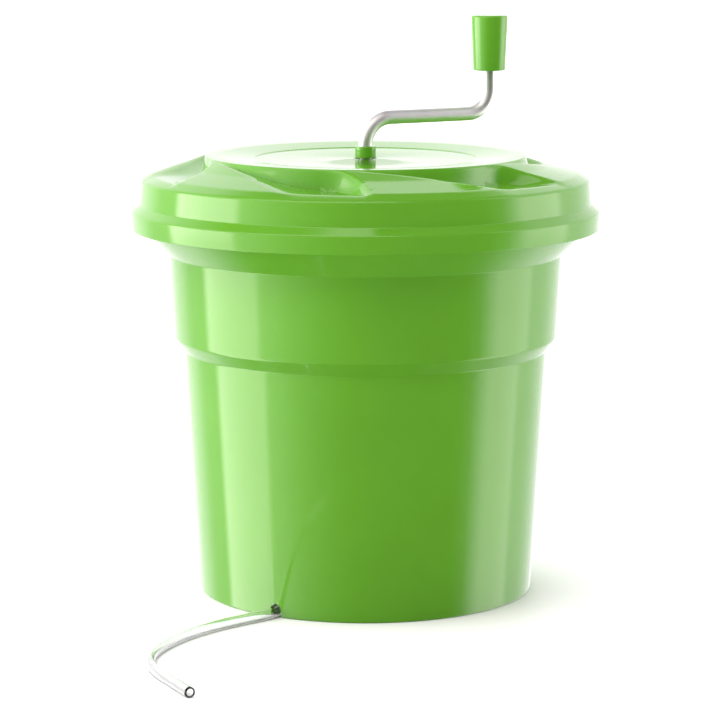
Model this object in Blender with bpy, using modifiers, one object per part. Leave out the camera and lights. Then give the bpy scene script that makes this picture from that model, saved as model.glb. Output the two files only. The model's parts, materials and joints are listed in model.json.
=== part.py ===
"""Hand-cranked salad spinner, about 12 litres, with a drain hose.

Metres, +Z up. The origin is the centre of the base, on the surface that the
tub stands on; the spinner's axis is Z and its front faces -Y. A crank on the
lid turns a planetary step-up gear, whose output dog drives the basket's post.
"""
import math

import bmesh
import bpy
from mathutils import Matrix, Vector

MM = 0.001

# Driving dimensions, in metres
GAP = 0.3 * MM                  # between pieces that touch
WALL = 3.0 * MM                 # tub
LID_WALL = 2.6 * MM
BASKET_WALL = 2.2 * MM
ROUND_STEPS = 40                # facets round the large turned pieces
GRIP_STEPS = 24
SMALL_STEPS = 16                # facets round the small ones
BASKET_STEPS = 32               # facets round the basket, one slot to every other

# Tub, outside, from the base up
BASE_R = 118.4 * MM
STEP_LOW = (128.4 * MM, 172.6 * MM)
STEP_HIGH = (135.3 * MM, 181.8 * MM)
NECK = (138.7 * MM, 241.0 * MM)
RIM_FOOT = (157.6 * MM, 259.8 * MM)
RIM_TOP = (158.6 * MM, 269.7 * MM)
FLOOR_UNDER = 15.0 * MM
FLOOR_TOP = 18.0 * MM
BOSS_R = 14.0 * MM
BOSS_TOP = 32.0 * MM

# Pivot between tub and basket
PIN_R = 4.0 * MM
PIN_FOOT = 20.0 * MM
PIN_TOP = 57.0 * MM
WASHER_T = 2.0 * MM
WASHER_R = 13.0 * MM

# Basket
BASKET_FLOOR = 37.0 * MM
BASKET_TOP = 252.0 * MM
BASKET_FOOT_R = 110.0 * MM
BASKET_MOUTH_R = 124.0 * MM
BASKET_LIP_R = 128.0 * MM
POST_TOP_R = 16.0 * MM
POST_FOOT_R = 21.0 * MM
POST_BORE_R = 9.5 * MM
BUSH_R = 8.0 * MM
BUSH_TOP = 60.5 * MM
SLOT_W = 4.0 * MM
SLOT_H = 46.0 * MM
SLOT_ROWS = (56.0 * MM, 112.0 * MM, 168.0 * MM)
SLOTS_ROUND = 16
FLOOR_SLOT = (44.0 * MM, 94.0 * MM)

# Lid, outside
DISC_Z = 307.5 * MM
DISC_R = 77.5 * MM
DISC_EDGE_R = 86.0 * MM            # the disc's gentle edge meets the plateau here
PLATEAU = (112.4 * MM, 310.1 * MM)
SHOULDER = (158.0 * MM, 293.6 * MM)
BAND_FOOT = (159.4 * MM, 276.6 * MM)
BRIM_TOP = (165.2 * MM, 271.5 * MM)
BRIM_FOOT = (165.0 * MM, 258.8 * MM)
SHELF_UNDER = RIM_TOP[1] + GAP
LOCATING_R = 154.2 * MM
LOCATING_FOOT = 263.0 * MM
SHAFT_HOLE_R = 8.0 * MM

# Finger pockets in the lid: ramps that start level with the plateau and go down round it
POCKETS = 6
POCKET_INNER_R = 112.8 * MM
POCKET_OUTER_R = 152.6 * MM
POCKET_DROP = 16.0 * MM         # depth at the deep end, beside the plateau
POCKET_TANGENT_R = 112.6 * MM   # the crest leaves the plateau along a line this far from the axis
POCKET_LEAD_DEG = 2.0           # from that line's nearest point to the start of the ramp
POCKET_START_DEG = -153.0       # start of the first ramp, at the plateau
POCKET_SWEEP_DEG = 6.0          # lean of the steep side, from the plateau to the rim
POCKET_DRAFT = 2.0 * MM         # lean of the wall under the plateau
POCKET_STATIONS = 8
POCKET_FIRST_SHARE = 0.12         # nearer its start the ramp is too shallow to cut
POCKET_FOOT_LEAN = 0.06           # lean of the deep end from floor to top, as a share of its span
POCKET_OVERRUN = 3.0 * MM         # how far a pocket's cutter runs out past the crest
POCKET_HEADROOM = 5.0 * MM        # and up past the plateau

# Gear case under the lid
CASE_FLOOR = 262.5 * MM
CASE_FLOOR_T = 2.5 * MM
CASE_R = 58.0 * MM
CASE_WALL = 2.5 * MM
FLANGE_R = 68.0 * MM
FLANGE_TOP = 297.7 * MM
FLANGE_T = 3.0 * MM
SCREW_PCR = 63.0 * MM
SCREW_R = 2.0 * MM
SCREW_HEAD_R = 3.8 * MM
SCREWS = 4

# Gears
MODULE = 2.0 * MM
RING_TEETH = 45
SUN_TEETH = 15
PLANET_TEETH = 15
PLANETS = 3
GEAR_FOOT = 268.0 * MM
GEAR_TOP = 280.0 * MM
PRESSURE_DEG = 20.0
TOOTH_SHARE = 0.42              # tooth width over the pitch, leaving backlash
ORBIT_R = MODULE * (SUN_TEETH + PLANET_TEETH) / 2
PLANET_PIN_R = 2.5 * MM

# Crank
ROD_R = 5.0 * MM
ROD_FOOT = 281.0 * MM
ROD_BEND_Z = 316.0 * MM
LOW_BEND_R = 19.5 * MM
HIGH_BEND_R = 17.5 * MM
KNOB_AXIS = Vector((88.9 * MM, 50.0 * MM, 0.0))
ROD_TOP = 396.0 * MM
COLLAR_R = 7.3 * MM
HUB_R = 10.0 * MM
CROSS_PIN_Z = 285.0 * MM
CROSS_PIN_R = 1.5 * MM

# Grip
GRIP_FOOT = 366.0 * MM
GRIP_TOP = 405.4 * MM
GRIP_FOOT_R = 11.5 * MM
GRIP_TOP_R = 13.25 * MM
GRIP_CHAMBER_R = 8.3 * MM
GRIP_CHAMBER_FOOT = 389.0 * MM

# Output shaft and the dog that drives the basket
SHAFT_R = 6.0 * MM
DOG_FLATS = 20.0 * MM
DOG_FOOT = 240.0 * MM
DOG_TOP = 256.0 * MM
SOCKET_FOOT = 234.0 * MM

# Drain: spigot under the floor, hose out through a notch in the skirt
DRAIN_DEG = -121.5
DRAIN_R = 76.0 * MM
SPIGOT_END_R = 88.0 * MM
SPIGOT_R = 3.5 * MM
SPIGOT_BORE_R = 2.2 * MM
SPIGOT_LOW_Z = 6.0 * MM
SPIGOT_TOP = 24.0 * MM
NOTCH_W = 8.4 * MM
NOTCH_H = 9.6 * MM
HOSE_R = 3.5 * MM
HOSE_Z = 3.6 * MM
HOSE_STEP = 8.0 * MM

GREEN = (0.20, 0.52, 0.04)


# ---------------------------------------------------------------- scene set-up
for old in list(bpy.data.objects):
    bpy.data.objects.remove(old, do_unlink=True)


def collection(name):
    """A new collection in the scene."""
    made = bpy.data.collections.new(name)
    bpy.context.scene.collection.children.link(made)
    return made


PARTS = collection("salad_spinner")
CUTTERS = collection("cutters")


def material(name, colour, roughness, metallic=0.0):
    """A Principled material in one colour."""
    mat = bpy.data.materials.new(name)
    mat.use_nodes = True
    shader = mat.node_tree.nodes["Principled BSDF"]
    shader.inputs["Base Color"].default_value = (*colour, 1.0)
    shader.inputs["Roughness"].default_value = roughness
    shader.inputs["Metallic"].default_value = metallic
    return mat


MATERIALS = {
    "green_plastic": material("green_plastic", GREEN, 0.18),
    "basket_plastic": material("basket_plastic", (0.24, 0.56, 0.08), 0.35),
    "case_plastic": material("case_plastic", (0.80, 0.80, 0.78), 0.4),
    "gear_plastic": material("gear_plastic", (0.86, 0.85, 0.80), 0.45),
    "bush_plastic": material("bush_plastic", (0.10, 0.10, 0.11), 0.5),
    "satin_rod": material("satin_rod", (0.62, 0.62, 0.63), 0.35, 1.0),
    "steel": material("steel", (0.66, 0.66, 0.68), 0.3, 1.0),
    "rubber": material("rubber", (0.04, 0.04, 0.04), 0.7),
    "clear_hose": material("clear_hose", (0.80, 0.84, 0.84), 0.15),
}


def place(name, data, mat=None, location=(0.0, 0.0, 0.0)):
    """Put mesh or curve data in the scene, as a part or, with no material, as a cutter."""
    obj = bpy.data.objects.new(name, data)
    obj.location = location
    if mat is None:
        CUTTERS.objects.link(obj)
        obj.hide_render = True
        obj.display_type = 'WIRE'
    else:
        PARTS.objects.link(obj)
        data.materials.append(MATERIALS[mat])
    return obj


# ------------------------------------------------------------------ shape tools
def filleted(points, steps=1):
    """Round the corners of an outline of (a, b) or (a, b, radius) points."""
    out = []
    count = len(points)
    for i, point in enumerate(points):
        here = Vector(point[:2])
        radius = point[2] if len(point) > 2 else 0.0
        if radius == 0.0:
            out.append(here)
            continue
        back = (Vector(points[i - 1][:2]) - here).normalized()
        ahead = (Vector(points[(i + 1) % count][:2]) - here).normalized()
        half = back.angle(ahead) / 2
        reach = radius / math.tan(half)
        centre = here + (back + ahead).normalized() * (radius / math.sin(half))
        start = here + back * reach - centre
        sweep = start.angle_signed(here + ahead * reach - centre)
        for k in range(steps + 1):
            turn = Matrix.Rotation(-sweep * k / steps, 2)
            out.append(centre + turn @ start)
    return out


def turned(name, outline, mat=None, steps=ROUND_STEPS, location=(0.0, 0.0, 0.0), rounding=1):
    """A turned piece: an outline of (radius, height) points swept round Z.

    The outline runs clockwise, down its outer side. One that starts and ends
    on the axis stays open there, and any other is closed.
    """
    points = filleted(outline, rounding)
    closed = points[0].x > 0
    edges = [(i, i + 1) for i in range(len(points) - 1)]
    if closed:
        edges.append((len(points) - 1, 0))
    mesh = bpy.data.meshes.new(name)
    mesh.from_pydata([(p.x, 0.0, p.y) for p in points], edges, [])
    obj = place(name, mesh, mat, location)
    screw = obj.modifiers.new("turn", 'SCREW')
    screw.axis = 'Z'
    screw.angle = 2 * math.pi
    screw.steps = steps
    screw.render_steps = steps
    screw.use_merge_vertices = True
    screw.merge_threshold = 0.00001
    screw.use_smooth_shade = True
    return obj


def cylinder(name, radius, low, high, mat=None, steps=SMALL_STEPS, location=(0.0, 0.0, 0.0)):
    """An upright cylinder between two heights."""
    bm = bmesh.new()
    lift = Matrix.Translation((0.0, 0.0, (low + high) / 2))
    bmesh.ops.create_cone(bm, cap_ends=True, segments=steps, radius1=radius, radius2=radius,
                          depth=high - low, matrix=lift)
    mesh = bpy.data.meshes.new(name)
    bm.to_mesh(mesh)
    bm.free()
    return place(name, mesh, mat, location)


def ring(name, inner, outer, low, high, mat=None, location=(0.0, 0.0, 0.0)):
    """A plain ring with square edges."""
    outline = [(inner, high), (outer, high), (outer, low), (inner, low)]
    return turned(name, outline, mat, SMALL_STEPS, location)


def prism(name, outlines, mat=None, location=(0.0, 0.0, 0.0)):
    """A loft through level outlines, each (height, points), from the lowest up."""
    bm = bmesh.new()
    loops = [[bm.verts.new((p[0], p[1], z)) for p in points] for z, points in outlines]
    for low, high in zip(loops, loops[1:]):
        for i, vert in enumerate(low):
            after = (i + 1) % len(low)
            bm.faces.new((vert, low[after], high[after], high[i]))
    bm.faces.new(loops[0][::-1])
    bm.faces.new(loops[-1])
    bmesh.ops.recalc_face_normals(bm, faces=bm.faces)
    mesh = bpy.data.meshes.new(name)
    bm.to_mesh(mesh)
    bm.free()
    return place(name, mesh, mat, location)


def boxes(name, size, matrices):
    """A cutter made of equal boxes, one at each matrix."""
    bm = bmesh.new()
    for matrix in matrices:
        bmesh.ops.create_cube(bm, size=1.0, matrix=matrix @ Matrix.Diagonal((*size, 1.0)))
    mesh = bpy.data.meshes.new(name)
    bm.to_mesh(mesh)
    bm.free()
    return place(name, mesh)


def posts(name, radius, low, high, spots, steps=12):
    """A cutter made of equal upright cylinders, one at each (x, y)."""
    bm = bmesh.new()
    for x, y in spots:
        lift = Matrix.Translation((x, y, (low + high) / 2))
        bmesh.ops.create_cone(bm, cap_ends=True, segments=steps, radius1=radius,
                              radius2=radius, depth=high - low, matrix=lift)
    mesh = bpy.data.meshes.new(name)
    bm.to_mesh(mesh)
    bm.free()
    return place(name, mesh)


def combine(obj, other, operation):
    """Add an exact Boolean of obj with another object."""
    modifier = obj.modifiers.new(operation.lower(), 'BOOLEAN')
    modifier.operation = operation
    modifier.object = other
    modifier.solver = 'EXACT'


def tube_curve(name, points, radius, resolution, mat=None):
    """A round tube with capped ends along a polyline."""
    curve = bpy.data.curves.new(name, 'CURVE')
    curve.dimensions = '3D'
    curve.bevel_depth = radius
    curve.bevel_resolution = resolution
    curve.use_fill_caps = True
    spline = curve.splines.new('POLY')
    spline.points.add(len(points) - 1)
    for knot, point in zip(spline.points, points):
        knot.co = (*point, 1.0)
    return place(name, curve, mat)


def meshed(obj):
    """Turn a tube's curve into a mesh with its caps welded on, so that it can be cut."""
    bpy.context.view_layer.update()
    evaluated = obj.evaluated_get(bpy.context.evaluated_depsgraph_get())
    mesh = bpy.data.meshes.new_from_object(evaluated)
    bm = bmesh.new()
    bm.from_mesh(mesh)
    bmesh.ops.remove_doubles(bm, verts=bm.verts, dist=0.00001)
    bmesh.ops.recalc_face_normals(bm, faces=bm.faces)
    bm.to_mesh(mesh)
    bm.free()
    name = obj.name
    made = bpy.data.objects.new(name + "_mesh", mesh)
    made.matrix_world = obj.matrix_world
    for owner in obj.users_collection:
        owner.objects.link(made)
    made.hide_render = obj.hide_render
    made.display_type = obj.display_type
    bpy.data.objects.remove(obj, do_unlink=True)
    made.name = name
    return made


def polar(radius, degrees):
    """The plan point at a radius and an azimuth."""
    angle = math.radians(degrees)
    return Vector((radius * math.cos(angle), radius * math.sin(angle)))


def around(count, radius, first=0.0):
    """Plan points spaced evenly round a circle."""
    return [polar(radius, first + 360.0 * k / count) for k in range(count)]


def axis_empty(name, location=(0.0, 0.0, 0.0)):
    """An empty that marks a joint's axis."""
    empty = bpy.data.objects.new(name, None)
    empty.location = location
    PARTS.objects.link(empty)
    return empty


def hang(parent, pieces):
    """Parent pieces to an axis empty, keeping their places in the world."""
    shift = Matrix.Translation(-parent.location)
    for piece in pieces:
        piece.parent = parent
        piece.matrix_parent_inverse = shift


# ------------------------------------------------------------------------- tub
def tub_wall_r(height):
    """Outer radius of the tub's lower section at a height."""
    return BASE_R + (STEP_LOW[0] - BASE_R) * height / STEP_LOW[1]


def make_tub():
    """Tub with a raised floor, a pivot boss, a stepped wall and a flared rim."""
    outline = [
        (0.0, PIN_FOOT),
        (PIN_R + GAP, PIN_FOOT),
        (PIN_R + GAP, BOSS_TOP),
        (BOSS_R, BOSS_TOP, 1.5 * MM),
        (BOSS_R + 2 * MM, FLOOR_TOP),
        (tub_wall_r(FLOOR_TOP) - WALL, FLOOR_TOP, 6 * MM),
        (STEP_LOW[0] - WALL, STEP_LOW[1] + 1.4 * MM),
        (STEP_HIGH[0] - WALL, STEP_HIGH[1] + 1.4 * MM),
        (NECK[0] - WALL, NECK[1] + 1.3 * MM),
        (RIM_FOOT[0] - WALL, RIM_FOOT[1] + 1.3 * MM),
        (RIM_TOP[0] - WALL, RIM_TOP[1], 1.2 * MM),
        (RIM_TOP[0], RIM_TOP[1], 1.2 * MM),
        (RIM_FOOT[0], RIM_FOOT[1], 2 * MM),
        (NECK[0], NECK[1]),
        (STEP_HIGH[0], STEP_HIGH[1], 3 * MM),
        (STEP_LOW[0], STEP_LOW[1], 2 * MM),
        (BASE_R, 0.0, 1.4 * MM),
        (BASE_R - WALL, 0.0),
        (BASE_R - WALL + 0.8 * MM, FLOOR_UNDER),
        (0.0, FLOOR_UNDER),
    ]
    tub = turned("tub", outline, "green_plastic")

    drain = polar(DRAIN_R, DRAIN_DEG)
    combine(tub, posts("drain_hole", SPIGOT_R + GAP, FLOOR_UNDER - WALL, FLOOR_TOP + WALL, [drain],
                       16), 'DIFFERENCE')

    # Arched notch through the skirt: a box with a round top
    heading = Matrix.Rotation(math.radians(DRAIN_DEG), 4, 'Z')
    arch_z = NOTCH_H - NOTCH_W / 2
    depth = 12 * MM
    middle = BASE_R - WALL / 2
    block = Matrix.Translation((middle, 0.0, arch_z / 2 - 1 * MM))
    notch = boxes("notch", (depth, NOTCH_W, arch_z + 2 * MM), [heading @ block])
    lying = Matrix.Translation((middle, 0.0, arch_z)) @ Matrix.Rotation(math.pi / 2, 4, 'Y')
    bm = bmesh.new()
    bmesh.ops.create_cone(bm, cap_ends=True, segments=SMALL_STEPS, radius1=NOTCH_W / 2,
                          radius2=NOTCH_W / 2, depth=depth, matrix=heading @ lying)
    mesh = bpy.data.meshes.new("notch_arch")
    bm.to_mesh(mesh)
    bm.free()
    combine(notch, place("notch_arch", mesh), 'UNION')
    combine(tub, notch, 'DIFFERENCE')
    return tub


def make_pivot():
    """Steel pin that stands in the tub's boss, and the washer round it."""
    turned("pivot_pin", [
        (0.0, PIN_TOP),
        (PIN_R, PIN_TOP, 1.5 * MM),
        (PIN_R, PIN_FOOT + GAP),
        (0.0, PIN_FOOT + GAP),
    ], "steel", SMALL_STEPS)
    ring("thrust_washer", PIN_R + GAP, WASHER_R, BOSS_TOP + GAP, BOSS_TOP + GAP + WASHER_T,
         "bush_plastic")


# ----------------------------------------------------------------------- drain
def make_drain():
    """Elbow spigot through the tub's floor, with its seal and its nut."""
    drain = polar(DRAIN_R, DRAIN_DEG)
    bend = 6 * MM
    path = [(DRAIN_R, SPIGOT_TOP)]
    for k in range(5):
        angle = math.radians(90 * k / 4)
        path.append((DRAIN_R + bend - bend * math.cos(angle),
                     SPIGOT_LOW_Z + bend - bend * math.sin(angle)))
    path.append((SPIGOT_END_R, SPIGOT_LOW_Z))
    route = [(*polar(r, DRAIN_DEG), z) for r, z in path]
    spigot = meshed(tube_curve("drain_spigot", route, SPIGOT_R, 2, "steel"))
    spigot.data.materials.clear()
    spigot.data.materials.append(MATERIALS["bush_plastic"])
    flange_top = FLOOR_UNDER - 2 * MM
    combine(spigot, posts("spigot_flange", 8 * MM, flange_top - 2 * MM, flange_top, [drain],
                          SMALL_STEPS), 'UNION')
    start = Vector(route[0]) + Vector((0.0, 0.0, 2 * MM))
    end = Vector(route[-1]) + Vector((*polar(2 * MM, DRAIN_DEG), 0.0))
    bore = [start] + [Vector(p) for p in route[1:-1]] + [end]
    combine(spigot, meshed(tube_curve("spigot_bore", bore, SPIGOT_BORE_R, 2)), 'DIFFERENCE')

    spot = (*drain, 0.0)
    ring("drain_seal", SPIGOT_R + GAP, 7.5 * MM, flange_top + GAP, FLOOR_UNDER - GAP, "rubber", spot)
    hexagon = around(6, 7.5 * MM)
    nut = prism("drain_nut", [(FLOOR_TOP + GAP, hexagon), (FLOOR_TOP + 4 * MM, hexagon)],
                "bush_plastic", spot)
    combine(nut, posts("nut_bore", SPIGOT_R + GAP, FLOOR_TOP - MM, FLOOR_TOP + 6 * MM, [drain], 16),
            'DIFFERENCE')


# The hose's route over the surface it lies on, from the spigot to its cut end
HOSE_ROUTE = [
    (-46.3, -75.5, 6.0), (-50.8, -82.9, 5.7), (-56.0, -91.2, 4.8), (-62.1, -100.2, 3.9),
    (-70.0, -108.4, 3.6), (-79.0, -116.2, 3.6), (-89.0, -125.3, 3.6), (-100.5, -136.8, 3.6),
    (-112.6, -151.4, 3.6), (-124.0, -169.6, 3.6), (-133.2, -189.4, 3.6), (-138.6, -207.8, 3.6),
    (-140.0, -225.2, 3.6), (-137.7, -241.8, 3.6), (-131.9, -259.4, 3.6), (-122.4, -280.2, 3.6),
    (-113.6, -298.6, 3.6), (-109.4, -307.1, 3.6),
]


def smooth_route(knots, spacing):
    """Points at an even spacing along a centripetal-like cubic through the knots."""
    knots = [Vector(k) for k in knots]
    fine = []
    for i in range(len(knots) - 1):
        p0 = knots[max(i - 1, 0)]
        p1, p2 = knots[i], knots[i + 1]
        p3 = knots[min(i + 2, len(knots) - 1)]
        for k in range(12):
            t = k / 12
            fine.append(0.5 * (2 * p1 + (p2 - p0) * t + (2 * p0 - 5 * p1 + 4 * p2 - p3) * t ** 2
                               + (3 * p1 - p0 - 3 * p2 + p3) * t ** 3))
    fine.append(knots[-1])
    lengths = [0.0]
    for a, b in zip(fine, fine[1:]):
        lengths.append(lengths[-1] + (b - a).length)
    count = round(lengths[-1] / spacing)
    out = []
    j = 0
    for k in range(count + 1):
        want = lengths[-1] * k / count
        while j < len(fine) - 2 and lengths[j + 1] < want:
            j += 1
        share = (want - lengths[j]) / (lengths[j + 1] - lengths[j])
        out.append(fine[j].lerp(fine[j + 1], share))
    return out


def make_hose():
    """Drain hose, a plain tube along its route."""
    knots = [(x * MM, y * MM, z * MM) for x, y, z in HOSE_ROUTE]
    tube_curve("drain_hose", smooth_route(knots, HOSE_STEP), HOSE_R, 2, "clear_hose")


# ---------------------------------------------------------------------- basket
def make_basket():
    """Slotted basket with a hollow centre post and a hexagonal drive socket."""
    floor_top = BASKET_FLOOR + BASKET_WALL
    lip_under = BASKET_TOP - BASKET_WALL
    outline = [
        (POST_BORE_R, BASKET_TOP),
        (POST_TOP_R, BASKET_TOP, 1.5 * MM),
        (POST_FOOT_R, floor_top, 6 * MM),
        (BASKET_FOOT_R - BASKET_WALL, floor_top, 8 * MM),
        (BASKET_MOUTH_R - BASKET_WALL, BASKET_TOP, 1 * MM),
        (BASKET_LIP_R, BASKET_TOP),
        (BASKET_LIP_R, lip_under),
        (BASKET_MOUTH_R, lip_under),
        (BASKET_FOOT_R, BASKET_FLOOR, 10 * MM),
        (BUSH_R + GAP, BASKET_FLOOR),
        (BUSH_R + GAP, BUSH_TOP + GAP),
        (POST_BORE_R, BUSH_TOP + GAP),
    ]
    basket = turned("basket", outline, "basket_plastic", BASKET_STEPS)

    across = (DOG_FLATS + 0.8 * MM) / math.cos(math.pi / 6) / 2
    hexagon = around(6, across)
    socket = prism("drive_socket", [(SOCKET_FOOT, hexagon), (BASKET_TOP + 2 * MM, hexagon)])
    combine(basket, socket, 'DIFFERENCE')

    spots = []
    facet = 360.0 / BASKET_STEPS
    for foot in SLOT_ROWS:
        for k in range(SLOTS_ROUND):
            turn = Matrix.Rotation(math.radians(facet / 2 + 360.0 * k / SLOTS_ROUND), 4, 'Z')
            middle = (BASKET_FOOT_R + BASKET_MOUTH_R) / 2
            spots.append(turn @ Matrix.Translation((middle, 0.0, foot + SLOT_H / 2)))
    combine(basket, boxes("wall_slots", (30 * MM, SLOT_W, SLOT_H), spots), 'DIFFERENCE')

    low, high = FLOOR_SLOT
    spots = []
    for k in range(SLOTS_ROUND):
        turn = Matrix.Rotation(math.radians(360.0 * k / SLOTS_ROUND), 4, 'Z')
        spots.append(turn @ Matrix.Translation(((low + high) / 2, 0.0, BASKET_FLOOR)))
    combine(basket, boxes("floor_slots", (high - low, SLOT_W, 10 * MM), spots), 'DIFFERENCE')

    bush_foot = BOSS_TOP + 2 * GAP + WASHER_T
    bush = turned("basket_bush", [
        (PIN_R + GAP, BUSH_TOP),
        (BUSH_R, BUSH_TOP),
        (BUSH_R, BASKET_FLOOR - GAP),
        (WASHER_R, BASKET_FLOOR - GAP),
        (WASHER_R, bush_foot),
        (PIN_R + GAP, bush_foot),
    ], "bush_plastic", SMALL_STEPS)
    hang(axis_empty("basket_axis"), [basket, bush])


# ------------------------------------------------------------------------- lid
LID_TOP = [
    (DISC_R, DISC_Z, 0.8 * MM),
    (DISC_EDGE_R, PLATEAU[1], 0.8 * MM),
    (PLATEAU[0], PLATEAU[1], 3 * MM),
    (128.0 * MM, 303.8 * MM),
    (150.0 * MM, 298.0 * MM),
    (SHOULDER[0], SHOULDER[1], 3 * MM),
    (BAND_FOOT[0], BAND_FOOT[1], 1 * MM),
    (BRIM_TOP[0], BRIM_TOP[1], 1.5 * MM),
]


def lid_top_z(radius):
    """Height of the lid's sloping top, outside the pockets."""
    for (r0, z0, *_), (r1, z1, *_) in zip(LID_TOP[2:], LID_TOP[3:]):
        if radius <= r1:
            return z0 + (z1 - z0) * (radius - r0) / (r1 - r0)
    return LID_TOP[-1][1]


def pocket_section(share, turn_deg, grow):
    """Corners of a pocket's cross-section, from its start (share 0) to its deep end (1).

    The floor starts below the plateau's edge and runs straight to the crest,
    which follows a line at first and then the rim.
    """
    step = 360.0 / POCKETS

    def spot(radius, along):
        lean = POCKET_SWEEP_DEG * (radius - POCKET_INNER_R) / (POCKET_OUTER_R - POCKET_INNER_R)
        x, y = polar(radius, POCKET_START_DEG + turn_deg + step * along + lean)
        return x, y

    foot_share = share * (1 - POCKET_FOOT_LEAN)
    foot_r = POCKET_INNER_R + POCKET_DRAFT * share
    angle = math.radians(POCKET_LEAD_DEG + step * share)
    crest_r = min(POCKET_TANGENT_R / math.cos(angle), POCKET_OUTER_R)
    foot_z = PLATEAU[1] - POCKET_DROP * share
    slope = (lid_top_z(crest_r) - foot_z) / (crest_r - POCKET_INNER_R)
    far_r = crest_r + POCKET_OVERRUN
    far_z = foot_z + slope * (far_r - POCKET_INNER_R)
    high = PLATEAU[1] + POCKET_HEADROOM
    edge = grow / POCKET_INNER_R * 180 / math.pi / step if share == 1.0 else 0.0
    return [
        (*spot(foot_r - grow, foot_share + edge), foot_z - grow),
        (*spot(far_r + grow, foot_share + edge), far_z - grow),
        (*spot(far_r + grow, share + edge), max(high, far_z + grow + MM)),
        (*spot(POCKET_INNER_R - grow, share + edge), high),
    ]


def pocket_blocks(name, grow):
    """The six pockets as solids, grown outwards by a wall's thickness."""
    bm = bmesh.new()
    for k in range(POCKETS):
        turn = 360.0 / POCKETS * k
        rings = []
        for j in range(POCKET_STATIONS + 1):
            share = POCKET_FIRST_SHARE + (1 - POCKET_FIRST_SHARE) * j / POCKET_STATIONS
            rings.append([bm.verts.new(p) for p in pocket_section(share, turn, grow)])
        for first, second in zip(rings, rings[1:]):
            for i in range(4):
                bm.faces.new((first[i], first[i - 1], second[i - 1], second[i]))
        bm.faces.new(rings[0])
        bm.faces.new(rings[-1][::-1])
    bmesh.ops.recalc_face_normals(bm, faces=bm.faces)
    mesh = bpy.data.meshes.new(name)
    bm.to_mesh(mesh)
    bm.free()
    return place(name, mesh)


def make_lid():
    """Lid shell with six finger pockets pressed into its sloping top."""
    under = LID_WALL
    boss_foot = FLANGE_TOP + GAP
    outline = [(SHAFT_HOLE_R, DISC_Z)] + LID_TOP + [
        (BRIM_FOOT[0], BRIM_FOOT[1], 0.6 * MM),
        (BRIM_FOOT[0] - under, BRIM_FOOT[1]),
        (BRIM_FOOT[0] - under, SHELF_UNDER),
        (LOCATING_R, SHELF_UNDER),
        (LOCATING_R, LOCATING_FOOT),
        (LOCATING_R - 2.4 * MM, LOCATING_FOOT),
        (LOCATING_R - 2.4 * MM, SHELF_UNDER + under),
        (BAND_FOOT[0] - under, SHELF_UNDER + under),
        (SHOULDER[0] - under, SHOULDER[1] - under),
        (149.2 * MM, 298.0 * MM - under),
        (127.2 * MM, 303.8 * MM - under),
        (PLATEAU[0] - 1 * MM, PLATEAU[1] - under),
        (DISC_EDGE_R, PLATEAU[1] - under),
        (DISC_R, DISC_Z - under),
        (FLANGE_R, DISC_Z - under),
        (FLANGE_R, boss_foot),
        (CASE_R, boss_foot),
        (CASE_R, DISC_Z - under),
        (11.0 * MM, DISC_Z - under),
        (11.0 * MM, 296.3 * MM),
        (SHAFT_HOLE_R, 296.3 * MM),
    ]
    lid = turned("lid", outline, "green_plastic")

    # Pocket walls end inside the shell, so they are trimmed to a slightly lower envelope
    sunk = 1.2 * MM
    envelope = turned("lid_envelope", [(0.0, PLATEAU[1] - sunk)]
                      + [(r - sunk / 2, z - sunk) for r, z, *_ in LID_TOP[2:7]]
                      + [(0.0, BAND_FOOT[1] - sunk)])
    walls = pocket_blocks("pocket_walls", LID_WALL)
    combine(walls, envelope, 'INTERSECT')
    combine(lid, walls, 'UNION')
    combine(lid, pocket_blocks("pockets", 0.0), 'DIFFERENCE')

    spots = around(SCREWS, SCREW_PCR, 45.0)
    holes = posts("screw_holes", SCREW_R + GAP, FLANGE_TOP - FLANGE_T - 5 * MM, 303.2 * MM, spots)
    combine(lid, holes, 'DIFFERENCE')
    return lid, holes


def make_lid_bush():
    """Plain bearing for the crank, pushed into the lid's boss from below."""
    return turned("lid_bush", [
        (ROD_R + GAP, DISC_Z - GAP),
        (SHAFT_HOLE_R - GAP, DISC_Z - GAP),
        (SHAFT_HOLE_R - GAP, 296.0 * MM),
        (11.0 * MM, 296.0 * MM),
        (11.0 * MM, 294.3 * MM),
        (ROD_R + GAP, 294.3 * MM),
    ], "bush_plastic", SMALL_STEPS)


# ------------------------------------------------------------------- gear case
def involute(angle):
    """The involute function."""
    return math.tan(angle) - angle


def gear_outline(teeth, add, dedend, sign, first_deg=0.0):
    """Outline of a gear, with a tooth centred on first_deg.

    sign is 1 for teeth that point out and -1 for teeth that point in.
    """
    pitch_r = MODULE * teeth / 2
    pressure = math.radians(PRESSURE_DEG)
    base_r = pitch_r * math.cos(pressure)
    half_pitch = math.pi * TOOTH_SHARE / teeth
    root = pitch_r - sign * dedend
    tip = pitch_r + sign * add
    radii = [root, pitch_r, tip]
    points = []
    for k in range(teeth):
        centre = math.radians(first_deg) + 2 * math.pi * k / teeth
        flank = []
        for r in radii:
            at = math.acos(min(1.0, base_r / r))
            flank.append((r, half_pitch + sign * (involute(pressure) - involute(at))))
        for r, half in flank:
            points.append((r * math.cos(centre - half), r * math.sin(centre - half)))
        for r, half in reversed(flank):
            points.append((r * math.cos(centre + half), r * math.sin(centre + half)))
    return points


def make_gear(name, teeth, bore_r, location, first_deg, mat):
    """A spur gear with a round bore."""
    outline = gear_outline(teeth, 0.85 * MODULE, 1.2 * MODULE, 1, first_deg)
    gear = prism(name, [(GEAR_FOOT, outline), (GEAR_TOP, outline)], mat, location)
    bore = posts(name + "_bore", bore_r, GEAR_FOOT - 5 * MM, GEAR_TOP + 5 * MM, [location[:2]],
                 SMALL_STEPS)
    combine(gear, bore, 'DIFFERENCE')
    return gear


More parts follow.
